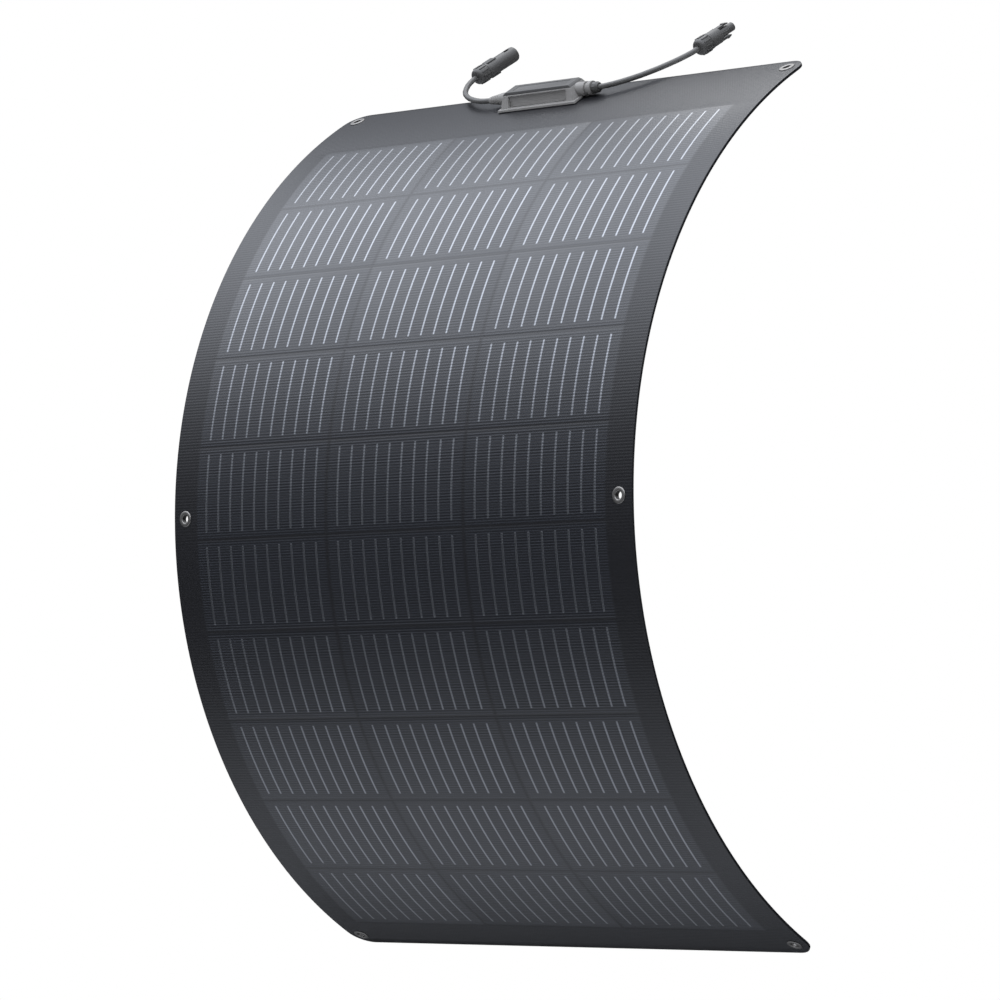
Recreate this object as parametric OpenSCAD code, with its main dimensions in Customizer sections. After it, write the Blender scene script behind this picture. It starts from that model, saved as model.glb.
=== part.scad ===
// Flexible solar sheet: a thin laminate of thirty half-cut cells, bent to a curve.
// X runs across the sheet, Z runs up it, and the cells face -Y.
// The origin is on the back face, at the middle of the sheet.
// A place on the sheet is given as x, s and h: s is measured down the curve from the
// top edge, and h stands out of the front face.

/* [Cells] */
// Number of cell rows down the sheet
rows = 10; // [10]
// Width of one half-cut cell
cell_w = 182; // [140:1:220]
// Height of one half-cut cell, down the sheet
cell_l = 91; // [70:1:110]
// Thickness of a cell
cell_t = 0.3; // [0.2:0.05:0.4]
// Gap between two columns of cells
col_gap = 1.6; // [1:0.1:4]
// Gap between two rows of cells
row_gap = 1.2; // [1.1:0.1:4]
// Ribbons on the front of each cell
ribbons = 10; // [5:1:12]
// Distance between two ribbons
ribbon_pitch = 17; // [10:0.5:18]
// Width of a ribbon
ribbon_w = 1.2; // [0.8:0.1:2]
// Thickness of a ribbon
ribbon_t = 0.25; // [0.1:0.05:0.35]
// Distance from a cell's edge to the end of its ribbons
ribbon_inset = 7; // [4:0.5:12]

/* [Sheet] */
// Total angle that the sheet is bent through
bend_deg = 126; // [60:1:150]
// Clear border beside the cells
side_margin = 31.4; // [28:0.2:50]
// Clear border above the cells, which carries the junction box
top_margin = 89.2; // [85:0.2:120]
// Clear border below the cells
bottom_margin = 45; // [40:1:80]
// Thickness of the whole laminate
sheet_t = 3; // [2.6:0.1:4]
// Thickness of the back sheet
back_t = 1.6; // [1.2:0.1:1.8]
// Radius of the four corners
corner_r = 22; // [10:1:26]
// Width of the slit along each bending line
slit = 0.7; // [0.6:0.1:0.8]
// Width of the flat bars that join the cell columns
bar_w = 5; // [3:0.5:8]
// Thickness of the flat bars
bar_t = 0.3; // [0.2:0.05:0.4]

/* [Eyelets] */
// Radius of the hole through an eyelet
eyelet_bore_r = 4; // [3:0.5:4.5]
// Wall of the eyelet's barrel
eyelet_wall = 0.8; // [0.6:0.1:1.2]
// Radius of the eyelet's flange and of its washer
eyelet_flange_r = 8; // [7:0.5:10]
// Distance from the sheet's side edge to an eyelet
eyelet_side = 16; // [13:0.5:18]
// Distance from the top or bottom edge to an eyelet
eyelet_end = 18; // [13:0.5:24]

/* [Junction box] */
// Length of the box, across the sheet
box_l = 100; // [90:1:130]
// Depth of the box where it is widest, down the sheet
box_d = 34; // [32:1:44]
// Height of the box above the sheet, with its lid
box_h = 17; // [16:0.5:24]
// Depth of the lid's flat top
box_top_d = 20; // [19:0.5:24]
// Wall of the box
box_wall = 2; // [1.5:0.1:2.5]
// Thickness of the lid
lid_t = 2.6; // [2:0.1:4]
// Width of the foot around the box
foot_w = 2.5; // [1:0.5:5]
// Height of the foot
foot_h = 1.8; // [1:0.1:2.5]
// Thickness of the adhesive below the box
bond_t = 0.8; // [0.5:0.1:1.4]
// Place of the box across the sheet, from the sheet's centre
box_x = -16; // [-100:1:100]
// Distance of the box's centre from the top edge
box_s = 26; // [26:1:40]

/* [Leads] */
// Diameter of both leads
lead_d = 5.5; // [5:0.1:6]
// Height of the leads' exits above the sheet
lead_h = 7.5; // [7:0.5:9]
// Length of the tapered relief on the left lead
relief_l = 26; // [20:1:40]
// Radius of the round hub on the box's right end
hub_r = 7.7; // [6.5:0.1:8]
// Length of the hub
hub_l = 11; // [8:1:16]
// Radius of the gland nut
gland_r = 5.8; // [5.2:0.1:7]
// Length of the gland nut
gland_l = 8; // [6:1:12]

/* [Connectors] */
// Radius of a cap nut over its ribs
nut_r = 9.5; // [9:0.1:12]
// Length of a cap nut
nut_l = 15; // [12:1:20]
// Radius of the housings
housing_r = 8.6; // [8.2:0.1:9]
// Full length of the socket connector
socket_l = 59; // [55:1:70]
// Full length of the plug connector
plug_l = 53; // [50:1:64]
// Radius of the socket's mouth
mouth_r = 7.5; // [7.4:0.1:7.6]
// Radius of the plug's nose
nose_r = 4.5; // [4.2:0.1:4.5]
// Thickness of a latch arm
latch_t = 1.5; // [1.2:0.1:1.6]
// Width of a latch arm
latch_w = 5; // [4:0.5:6]
// Length of a latch arm
latch_l = 16; // [14:1:18]
// Angle of the connectors to the sheet's length
connector_turn = 6; // [-10:1:10]

/* [Hidden] */
columns = 3;
clearance = 0.3;   // between pieces that move past each other
hair = 0.1;        // between an eyelet and the curved faces it clamps
solder_t = 0.02;   // between a cell and the ribbons on its face
$fn = 48;
arc_fn = 720;      // facets of a full turn of the sheet's curve

sheet_w = columns * cell_w + (columns - 1) * col_gap + 2 * side_margin;
row_pitch = cell_l + row_gap;
sheet_l = top_margin + rows * row_pitch - row_gap + bottom_margin;
mid_r = sheet_l / (bend_deg * PI / 180);
back_r = mid_r - sheet_t / 2;
front_r = mid_r + sheet_t / 2;
cell_r0 = back_r + back_t;
cell_r1 = cell_r0 + cell_t;

// Bending lines, from the top edge: the ends of strip i are at fold_s(i) and fold_s(i + 1).
function fold_s(i) = i < 1 ? -slit / 2 : i > rows + 1 ? sheet_l + slit / 2
                   : top_margin - row_gap / 2 + (i - 1) * row_pitch;
function strip_top(i) = fold_s(i) + slit / 2;
function strip_end(i) = fold_s(i + 1) - slit / 2;
function row_top(i) = top_margin + (i - 1) * row_pitch;
function col_x(c) = -sheet_w / 2 + side_margin + c * (cell_w + col_gap);
// Angle of the curve's outward normal above the horizontal, at distance s from the top.
function arc_deg(s) = (sheet_l / 2 - s) / mid_r * 180 / PI;

// Route of each lead on the box's own plane, as [x, up the slope], from inside its exit
// to the back of its connector.
left_route = [[-42, 0], [-58, 0], [-66, 0], [-74, 0], [-82, 0.5], [-90, 2], [-98, 5],
              [-106, 9], [-115, 14], [-123, 20], [-131, 27], [-138, 35], [-144, 44],
              [-149, 53], [-152, 61], [-154, 69], [-153.8, 75], [-153.2, 81],
              [-152.8, 84.5]];
right_route = [[42, 0], [58, 0], [66, 0], [74, 0], [82, 1.5], [90, 4], [98, 7.5],
               [106, 12], [114, 17.5], [121, 24], [128, 31], [134, 39], [140, 48],
               [144, 56], [147, 64], [147.9, 70], [148.2, 75], [148.8, 81],
               [149.2, 84.5]];
socket_at = [-154, 73];    // back of the socket connector
plug_at = [148, 73];       // back of the plug connector

// ---- placing and sweeping --------------------------------------------------------

// Puts its children on the sheet: their Z along the outward normal, their Y up the curve.
module on_sheet(x, s, h = 0) {
    a = arc_deg(s);
    translate([x, back_r - (front_r + h) * cos(a), (front_r + h) * sin(a)])
        rotate([90 - a, 0, 0])
            children();
}

// Sweeps a flat outline along the curve, from s0 down to s1. The outline's first
// axis is the radius from the curve's centre and its second axis is X.
module bend_sweep(s0, s1) {
    translate([0, back_r, 0])
        rotate([0, 90, 0])
            rotate([0, 0, -90 - arc_deg(s0)])
                rotate_extrude(angle = arc_deg(s0) - arc_deg(s1), $fn = arc_fn)
                    children();
}

module layer_outline(r0, r1, x0, x1) {
    translate([r0, x0])
        square([r1 - r0, x1 - x0]);
}

module on_box() {
    on_sheet(box_x, box_s)
        children();
}

// ---- the laminate ----------------------------------------------------------------

// Rounds a corner. The arc is a little wide, so that it crosses the two edges.
module corner_cutter(side, s, up) {
    ease = 0.05;
    on_sheet(side * (sheet_w / 2 - corner_r), s, -sheet_t * 2)
        difference() {
            translate([side > 0 ? 0 : -corner_r * 2, up > 0 ? 0 : -corner_r * 2, 0])
                cube([corner_r * 2, corner_r * 2, sheet_t * 4]);
            translate([0, 0, -1])
                cylinder(h = sheet_t * 4 + 2, r = corner_r + ease);
        }
}

module eyelet_hole(side, s) {
    on_sheet(side * (sheet_w / 2 - eyelet_side), s, -sheet_t * 2)
        cylinder(h = sheet_t * 4, r = eyelet_bore_r + eyelet_wall + hair);
}

function has_mid_eyelets(i) = strip_top(i) < sheet_l / 2 && strip_end(i) > sheet_l / 2;

// One strip of one layer, with its share of the corners and eyelet holes.
module layer_strip(i, r0, r1) {
    difference() {
        bend_sweep(strip_top(i), strip_end(i))
            layer_outline(r0, r1, -sheet_w / 2, sheet_w / 2);
        for (side = [-1, 1]) {
            if (i == 0) corner_cutter(side, corner_r, 1);
            if (i == 0) eyelet_hole(side, eyelet_end);
            if (has_mid_eyelets(i)) eyelet_hole(side, sheet_l / 2);
            if (i == rows + 1) corner_cutter(side, sheet_l - corner_r, -1);
            if (i == rows + 1) eyelet_hole(side, sheet_l - eyelet_end);
        }
    }
}

// The cells of one row. A cutter reaches below them, out of the layer that it cuts.
module cell_outlines(below = 0) {
    for (c = [0 : columns - 1])
        layer_outline(cell_r0 - below, cell_r1, col_x(c), col_x(c) + cell_w);
}

module ribbon_outlines() {
    first = (cell_w - (ribbons - 1) * ribbon_pitch - ribbon_w) / 2;
    for (c = [0 : columns - 1])
        for (n = [0 : ribbons - 1])
            translate([cell_r1 + solder_t, col_x(c) + first + n * ribbon_pitch])
                square([ribbon_t, ribbon_w]);
}

// The ribbon behind the last column, which brings the current back to the box.
return_x = box_x + 32;
module return_ribbon(s0, s1, cover = solder_t) {
    bend_sweep(s0, s1)
        layer_outline(cell_r0 - bar_t - solder_t, cell_r0 - cover,
                      return_x - bar_w / 2, return_x + bar_w / 2);
}

module cells_row(i) {
    color("#2b2d33")
        bend_sweep(row_top(i), row_top(i) + cell_l)
            cell_outlines();
    color("#c9cbcc")
        bend_sweep(row_top(i) + ribbon_inset, row_top(i) + cell_l - ribbon_inset)
            ribbon_outlines();
    color("#c9cbcc")
        return_ribbon(strip_top(i), strip_end(i));
}

module front_film_row(i) {
    color("#4a4b4d")
        difference() {
            layer_strip(i, cell_r0, front_r);
            bend_sweep(row_top(i), row_top(i) + cell_l)
                cell_outlines(back_t / 2);
            bend_sweep(row_top(i) + ribbon_inset, row_top(i) + cell_l - ribbon_inset)
                ribbon_outlines();
        }
}

module back_sheet_row(i) {
    color("#26272a")
        difference() {
            layer_strip(i, back_r, cell_r0);
            return_ribbon(strip_top(i) - hair, strip_end(i) + hair, -hair);
        }
}

// ---- flat bars at the two ends of the cell columns -------------------------------

bar_s = top_margin - 9;                    // top of the bars above the first row
tab_x = [-32, 0, 32];                      // terminals, across the box
tab_y = 5.5;                               // tabs, up the slope from the box's centre
terminal_z = bond_t + box_wall;            // floor of the box

tab_s = box_s - tab_y - bar_t - hair;      // end of the bars, just past their tabs
cell_h = cell_r0 - front_r;                // height of the cells' back, below the front face

// The part of a bar that rises through the film and the box's floor.
module tab(x, h0) {
    on_box()
        translate([x - bar_w / 2, tab_y, h0])
            cube([bar_w, bar_t, terminal_z + 1 - h0]);
}

// A bar from x0 to x1, with an arm at one of its ends that runs up to tab number n.
module top_bar(x0, x1, n) {
    x = box_x + tab_x[n];
    cut_x = x1 > x + bar_w ? x + bar_w / 2 : x0 - 1;
    cut_w = x1 > x + bar_w ? x1 + 1 - cut_x : x - bar_w / 2 - cut_x;
    difference() {
        bend_sweep(tab_s, bar_s + bar_w)
            layer_outline(cell_r0, cell_r0 + bar_t, x0, x1);
        on_sheet(cut_x, bar_s, -5 * sheet_t)
            cube([cut_w, bar_s, 6 * sheet_t]);
    }
}

module top_bars() {
    top_bar(col_x(0) + 10, box_x + tab_x[0] + bar_w / 2, 0);
    top_bar(box_x + tab_x[1] - bar_w / 2, col_x(2) + cell_w - 10, 1);
}

bottom_s = sheet_l - bottom_margin + 4;    // top of the bars below the last row
module bottom_bars() {
    bend_sweep(bottom_s, bottom_s + bar_w)
        layer_outline(cell_r0, cell_r0 + bar_t, col_x(0) + 10, return_x - bar_w);
    bend_sweep(bottom_s, bottom_s + bar_w)
        layer_outline(cell_r0, cell_r0 + bar_t, return_x - bar_w / 2, col_x(2) + cell_w - 10);
}

// Slots that let the three tabs rise into the box.
module tab_slots(z0, z1) {
    on_box()
        for (x = tab_x)
            translate([x - bar_w / 2 - hair, tab_y - hair, z0])
                cube([bar_w + 2 * hair, bar_t + 2 * hair, z1 - z0]);
}

module front_film_top() {
    color("#4a4b4d")
        difference() {
            layer_strip(0, cell_r0, front_r);
            top_bars();
            tab_slots(-sheet_t, sheet_t);
        }
}

module back_sheet_top() {
    color("#26272a")
        difference() {
            layer_strip(0, back_r, cell_r0);
            return_ribbon(tab_s, strip_end(0), 0);
        }
}

module front_film_bottom() {
    color("#4a4b4d")
        difference() {
            layer_strip(rows + 1, cell_r0, front_r);
            bottom_bars();
        }
}

module back_sheet_bottom() {
    color("#26272a")
        difference() {
            layer_strip(rows + 1, back_r, cell_r0);
            return_ribbon(strip_top(rows + 1), bottom_s + bar_w, 0);
        }
}

module end_bars_top() {
    color("#c9cbcc") {
        top_bars();
        tab(tab_x[0], cell_h + bar_t / 2);
        tab(tab_x[1], cell_h + bar_t / 2);
        return_ribbon(tab_s, strip_end(0));
        tab(tab_x[2], cell_h - bar_t / 2);
    }
}

module end_bars_bottom() {
    color("#c9cbcc") {
        bottom_bars();
        return_ribbon(strip_top(rows + 1), bottom_s + bar_w, 0);
    }
}

// ---- eyelets ---------------------------------------------------------------------

// A barrel with a rolled flange in front, and a washer under its turned rim behind.
module eyelet(side, s) {
    flange_t = 0.9;
    washer_t = 0.6;
    rim_t = 0.6;
    rim_w = 2;
    rim_z0 = -sheet_t - 3 * hair - washer_t - rim_t;
    barrel_r = eyelet_bore_r + eyelet_wall;
    on_sheet(side * (sheet_w / 2 - eyelet_side), s) {
        rotate_extrude() {
            translate([eyelet_bore_r, hair])
                square([eyelet_flange_r - eyelet_bore_r - flange_t / 2, flange_t]);
            translate([eyelet_flange_r - flange_t / 2, hair + flange_t / 2])
                circle(d = flange_t);
            translate([eyelet_bore_r, rim_z0])
                square([eyelet_wall, hair - rim_z0]);
            translate([eyelet_bore_r, rim_z0])
                square([rim_w, rim_t]);
        }
        translate([0, 0, -sheet_t - 2 * hair - washer_t])
            rotate_extrude()
                translate([barrel_r + hair, 0])
                    square([eyelet_flange_r - barrel_r - hair, washer_t]);
    }
}

module eyelet_pair(s) {
    color("#b9bbbd")
        for (side = [-1, 1])
            eyelet(side, s);
}

// ---- junction box ----------------------------------------------------------------

// A block whose four sides lean in, from [l0, d0] at z0 to [l1, d1] at z1.
module leaning_block(l0, d0, z0, l1, d1, z1) {
    intersection() {
        rotate([90, 0, 90])
            linear_extrude(height = max(l0, l1), center = true)
                polygon([[-d0 / 2, z0], [d0 / 2, z0], [d1 / 2, z1], [-d1 / 2, z1]]);
        rotate([90, 0, 0])
            linear_extrude(height = max(d0, d1), center = true)
                polygon([[-l0 / 2, z0], [l0 / 2, z0], [l1 / 2, z1], [-l1 / 2, z1]]);
    }
}

rim_z = box_h - lid_t;                     // top of the base, below the lid
rim_l = box_l - 8;
recess_t = 1.6;                            // depth of the front recess, below the lid
recess_y = box_top_d / 2 + 1.2;            // wall of the recess at its foot, from the centre
hub_x = box_l / 2 - 3;                     // where the hub leaves the box's right end
gland_x = hub_x + hub_l;                   // end of the hub
thread_l = 8;                              // grooved neck and ring behind the gland nut

// A pad of adhesive that follows the curve.
module box_bond() {
    inset = 1;
    color("#1e1e1f")
        difference() {
            bend_sweep(box_s - box_d / 2 + inset, box_s + box_d / 2 - inset)
                layer_outline(front_r, front_r + bond_t,
                              box_x - box_l / 2 + inset, box_x + box_l / 2 - inset);
            tab_slots(-sheet_t, sheet_t);
        }
}

// The foot reaches below the box, because the sheet curves away under its edges.
module foot_block() {
    l = box_l + 2 * foot_w;
    d = box_d + 2 * foot_w;
    drop = 0.5;
    leaning_block(l, d, bond_t - drop, l - 1, d - 1, bond_t + foot_h);
}

module body_block() {
    leaning_block(box_l, box_d, bond_t, rim_l, box_top_d + 1, rim_z);
}

module lid_block() {
    leaning_block(rim_l, box_top_d + 1, rim_z, rim_l - 6, box_top_d - 1, box_h);
}

module box_hollow() {
    rotate([90, 0, 90])
        linear_extrude(height = box_l - 14, center = true)
            polygon([[-recess_y + box_wall + 0.4, bond_t + box_wall],
                     [box_d / 2 - box_wall - 0.8, bond_t + box_wall],
                     [box_top_d / 2 - box_wall - 0.8, rim_z + 1],
                     [-box_top_d / 2 + box_wall + recess_t + 0.8, rim_z + 1]]);
}

// The long recess in the front, between two plain end posts.
module front_recess() {
    foot_top = bond_t + foot_h;
    rotate([90, 0, 90])
        linear_extrude(height = box_l - 22, center = true)
            polygon([[-box_d / 2 - 1, foot_top], [-recess_y, foot_top],
                     [-box_top_d / 2 + recess_t - 0.9, rim_z - 1.4],
                     [-box_top_d / 2 - 3, rim_z - 1.4]]);
}

module box_base() {
    color("#77797b")
        difference() {
            on_box()
                difference() {
                    union() {
                        foot_block();
                        body_block();
                        translate([hub_x, 0, lead_h])
                            rotate([0, 90, 0])
                                cylinder(h = hub_l, r = hub_r - 0.4);
                        translate([hub_x + hub_l - 5, 0, lead_h + 0.2])
                            rotate([0, 90, 0])
                                cylinder(h = 5, r = hub_r - 0.8);
                        translate([gland_x - 1, 0, lead_h])
                            rotate([0, 90, 0])
                                cylinder(h = thread_l - 4, r = hub_r - 2);
                        translate([gland_x + thread_l - 5, 0, lead_h])
                            rotate([0, 90, 0])
                                cylinder(h = 5, r = hub_r - 0.6);
                    }
                    box_hollow();
                    front_recess();
                    seal_ring(1);
                    translate([0, 0, lead_h])
                        rotate([0, 90, 0])
                            cylinder(h = box_l + 60, r = lead_d / 2 + hair, center = true);
                }
            tab_slots(0, terminal_z + 1);
            bend_sweep(0, box_s + box_d)
                layer_outline(back_r, front_r + bond_t, box_x - box_l, box_x + box_l);
        }
}

// The lid's rubber ring, and with grow = 1 the groove that it lies in.
module seal_ring(grow) {
    ring_l = box_l - 11;
    ring_d = box_top_d - 2.2;
    translate([0, 0, rim_z - 0.8])
        linear_extrude(height = 0.8 + grow)
            difference() {
                square([ring_l, ring_d], center = true);
                square([ring_l - 2.4, ring_d - 2.4], center = true);
            }
}

module box_seal() {
    color("#1a1a1b")
        on_box()
            seal_ring(0);
}

module box_lid() {
    color("#5d5f61")
        on_box()
            difference() {
                lid_block();
                translate([0, 0, box_h])
                    cube([rim_l - 22, box_top_d - 9, 0.8], center = true);
            }
}

// Three terminals: a floor plate and an upright on each side that carries a diode.
module box_terminals() {
    plate_t = 1;
    color("#c2b280")
        on_box()
            for (x = tab_x) {
                translate([x - 5, -5, terminal_z])
                    cube([10, 5 + tab_y, plate_t]);
                for (side = [-1, 1])
                    if (abs(x + side * 16) < 20)
                        translate([x + side * 4.5 - 0.5, -3, terminal_z + plate_t])
                            cube([1, 6, 5]);
            }
}

module bypass_diodes() {
    lead_z = terminal_z + 4;
    color("#26272a")
        on_box()
            for (x = [-16, 16])
                translate([x, 0, lead_z])
                    rotate([0, 90, 0]) {
                        cylinder(h = 9, r = 2.7, center = true);
                        cylinder(h = 22, r = 0.6, center = true);
                    }
}

// ---- exits and leads -------------------------------------------------------------

module left_relief() {
    inset = 5;                             // from the box's end to the shoulder's root
    shoulder = 12;
    color("#6f7173")
        on_box()
            difference() {
                translate([-box_l / 2 + inset, 0, lead_h])
                    rotate([0, -90, 0])
                        difference() {
                            union() {
                                cylinder(h = shoulder, r1 = hub_r - 1.1, r2 = hub_r - 1.4);
                                translate([0, 0, shoulder])
                                    cylinder(h = relief_l + inset - 2 - shoulder,
                                             r1 = hub_r - 1.4, r2 = lead_d / 2 + 0.9);
                            }
                            translate([0, 0, -1])
                                cylinder(h = relief_l + inset + 2, r = lead_d / 2);
                        }
                foot_block();
                body_block();
                lid_block();
            }
}

module gland_nut() {
    color("#2a2b2d")
        on_box()
            translate([gland_x + thread_l, 0, lead_h])
                rotate([0, 90, 0])
                    difference() {
                        union() {
                            cylinder(h = gland_l - 2, r = gland_r);
                            translate([0, 0, gland_l - 2])
                                cylinder(h = 2, r1 = gland_r, r2 = gland_r - 1.6);
                        }
                        translate([0, 0, -1])
                            cylinder(h = gland_l + 2, r = lead_d / 2);
                    }
}

sides = 10;
// Unit direction of a route at point i, from its neighbours.
function heading(p, i) =
    let (d = p[min(i + 1, len(p) - 1)] - p[max(i - 1, 0)]) d / norm(d);
function ring_points(p, i) =
    let (t = heading(p, i))
    [for (k = [0 : sides - 1])
        let (a = 360 * k / sides, out = lead_d / 2 * cos(a))
        [p[i][0] - t[1] * out, p[i][1] + t[0] * out, lead_h + lead_d / 2 * sin(a)]];

module lead_tube(p) {
    rings = len(p);
    points = [for (i = [0 : rings - 1]) each ring_points(p, i)];
    walls = [for (i = [0 : rings - 2], k = [0 : sides - 1])
                [i * sides + k, i * sides + (k + 1) % sides,
                 (i + 1) * sides + (k + 1) % sides, (i + 1) * sides + k]];
    first_cap = [for (k = [0 : sides - 1]) sides - 1 - k];
    last_cap = [for (k = [0 : sides - 1]) (rings - 1) * sides + k];
    polyhedron(points, concat(walls, [first_cap, last_cap]));
}

module left_lead() {
    color("#3a3b3d")
        on_box()
            lead_tube(left_route);
}

module right_lead() {
    color("#3a3b3d")
        on_box()
            lead_tube(right_route);
}

// ---- connectors ------------------------------------------------------------------

// Puts its children at a connector's back, with Z along the connector.
module at_connector(place) {
    on_box()
        translate([place[0], place[1], lead_h])
            rotate([0, 0, -connector_turn])
                rotate([-90, 0, 0])
                    children();
}

bore_r = lead_d / 2 + clearance;           // way for the lead
chamber_r = 5.4;                           // room for the rubber seal
thread_r = housing_r - 1.4;                // housing inside the cap nut
seal_z = 5;
seal_l = 7;
pin_r = 1.6;                               // the socket's contact, a pin
tube_r = 2.9;                              // the plug's contact, a tube for that pin
contact_z = seal_z + seal_l + 2;           // back of both contacts
mouth_l = 6;                               // wider mouth in front of the windows
window_l = 7;
window_z = socket_l - mouth_l - window_l;  // windows for the latch barbs
latch_z = plug_l - 22;                     // root of the latch arms
fin_l = 12;                                // guide fins beside the thicker nose root

module cap_nut() {
    rib_r = 0.8;
    difference() {
        union() {
            cylinder(h = 4, r1 = nut_r - 3.5, r2 = nut_r - rib_r);
            translate([0, 0, 4])
                cylinder(h = nut_l - 4, r = nut_r - rib_r);
            for (a = [0 : 30 : 330])
                rotate([0, 0, a])
                    translate([nut_r - 2, -rib_r, 4.5])
                        cube([2, 2 * rib_r, nut_l - 5.5]);
        }
        translate([0, 0, -1])
            cylinder(h = nut_l + 2, r = bore_r);
        translate([0, 0, seal_z])
            cylinder(h = nut_l, r = thread_r + hair);
    }
}

// The back half that both housings share: it goes into the cap nut and holds the seal.
module housing_back() {
    translate([0, 0, seal_z + hair])
        cylinder(h = nut_l - seal_z, r = thread_r);
    translate([0, 0, nut_l + hair])
        cylinder(h = 3, r = housing_r);
}

module socket_nut() {
    color("#2b2c2e")
        at_connector(socket_at)
            cap_nut();
}

module plug_nut() {
    color("#2b2c2e")
        at_connector(plug_at)
            cap_nut();
}

module socket_shell() {
    color("#2f3032")
        at_connector(socket_at)
            difference() {
                union() {
                    housing_back();
                    translate([0, 0, nut_l + 3])
                        cylinder(h = socket_l - nut_l - 5, r = housing_r - 0.5);
                    translate([0, 0, socket_l - 2])
                        cylinder(h = 2, r1 = housing_r - 0.5, r2 = housing_r - 0.9);
                    translate([-4, -housing_r, nut_l + 3])
                        cube([8, 2 * housing_r, 13]);
                }
                cylinder(h = seal_z + seal_l + hair, r = chamber_r);
                cylinder(h = socket_l, r = pin_r);
                translate([0, 0, socket_l - 24])
                    cylinder(h = 30, r = mouth_r - clearance);
                translate([0, 0, socket_l - mouth_l])
                    cylinder(h = mouth_l + 1, r = mouth_r);
                translate([-latch_w / 2 - clearance, -housing_r - 1, window_z])
                    cube([latch_w + 2 * clearance, 2 * housing_r + 2, window_l]);
            }
}

// The pin stands in the mouth and ends short of its wider part.
module socket_contact() {
    tip_l = 1;
    pin_l = socket_l - mouth_l - 2 - tip_l - contact_z;
    color("#c8c9ca")
        at_connector(socket_at)
            translate([0, 0, contact_z]) {
                cylinder(h = pin_l, r = pin_r);
                translate([0, 0, pin_l])
                    cylinder(h = tip_l, r1 = pin_r, r2 = pin_r / 2);
            }
}

module plug_shell() {
    color("#2f3032")
        at_connector(plug_at)
            difference() {
                union() {
                    housing_back();
                    translate([0, 0, nut_l + 3])
                        cylinder(h = latch_z - nut_l - 3, r = housing_r - 0.4);
                    translate([0, 0, latch_z])
                        cylinder(h = plug_l - latch_z, r = nose_r);
                    translate([0, 0, latch_z])
                        cylinder(h = fin_l, r = nose_r + clearance);
                    translate([0, 0, latch_z + 1])
                        cube([2 * (mouth_r - 1), 3, 2], center = true);
                    for (side = [-1, 1])
                        translate([side * (nose_r + 0.8), 0, latch_z + fin_l / 2])
                            cube([2.4, 3, fin_l], center = true);
                }
                cylinder(h = seal_z + seal_l + hair, r = chamber_r);
                cylinder(h = nut_l + 8, r = tube_r);
                translate([0, 0, nut_l + 8])
                    cylinder(h = plug_l, r = tube_r + 0.2);
                for (side = [-1, 1])
                    translate([-latch_w / 2 - clearance, side > 0 ? latch_r0 - 1 : -housing_r - 1, latch_z - 3])
                        cube([latch_w + 2 * clearance, housing_r + 2 - latch_r0, 3 + 1]);
            }
}

module plug_contact() {
    color("#c8c9ca")
        at_connector(plug_at)
            translate([0, 0, contact_z])
                difference() {
                    cylinder(h = plug_l - contact_z - 4, r = tube_r);
                    translate([0, 0, 12])
                        cylinder(h = plug_l, r = pin_r + hair);
                }
}

module cable_seals() {
    color("#8a2f22")
        for (place = [socket_at, plug_at])
            at_connector(place)
                translate([0, 0, seal_z + hair])
                    difference() {
                        cylinder(h = seal_l, r = chamber_r);
                        translate([0, 0, -1])
                            cylinder(h = seal_l + 2, r = bore_r);
                    }
}

// A latch arm: a springy tongue beside the nose, with a barb near its tip.
latch_r0 = mouth_r - hair - latch_t;       // inner face of an arm
module latch_arm(side) {
    barb = 0.7;
    color("#2f3032")
        at_connector(plug_at)
            rotate([0, 0, side > 0 ? 0 : 180])
                translate([-latch_w / 2, 0, 0])
                    rotate([90, 0, 90])
                        linear_extrude(height = latch_w)
                            polygon([[latch_r0, latch_z - 3 + clearance],
                                     [latch_r0 + latch_t, latch_z - 3 + clearance],
                                     [latch_r0 + latch_t, latch_z + latch_l - 6],
                                     [latch_r0 + latch_t + barb, latch_z + latch_l - 6],
                                     [latch_r0 + latch_t + barb, latch_z + latch_l - 4],
                                     [latch_r0 + latch_t - 0.5, latch_z + latch_l],
                                     [latch_r0, latch_z + latch_l]]);
}

// ---- which node to draw ----------------------------------------------------------

front_film_top();
for (i = [1 : rows])
    front_film_row(i);
front_film_bottom();
back_sheet_top();
for (i = [1 : rows])
    back_sheet_row(i);
back_sheet_bottom();
for (i = [1 : rows])
    cells_row(i);
end_bars_top();
end_bars_bottom();
eyelet_pair(eyelet_end);  // eyelets_top
eyelet_pair(sheet_l / 2);  // eyelets_middle
eyelet_pair(sheet_l - eyelet_end);  // eyelets_bottom
box_bond();
box_base();
box_lid();
box_seal();
box_terminals();
bypass_diodes();
left_relief();
left_lead();
socket_shell();
socket_nut();
socket_contact();
gland_nut();
right_lead();
plug_shell();
plug_nut();
plug_contact();
cable_seals();
latch_arm(-1);  // latch_arm_outer
latch_arm(1);  // latch_arm_inner
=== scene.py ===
# %% [markdown]
# # A flexible solar sheet
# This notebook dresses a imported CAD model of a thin, bendable solar panel. The CAD model
# says where everything is and how it moves; here each piece gets its real surface. We
# load the frame first, because every later cell takes its places from it.

# %% Load the frame
import math
import bmesh
import bpy
from mathutils import Matrix, Vector


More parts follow.
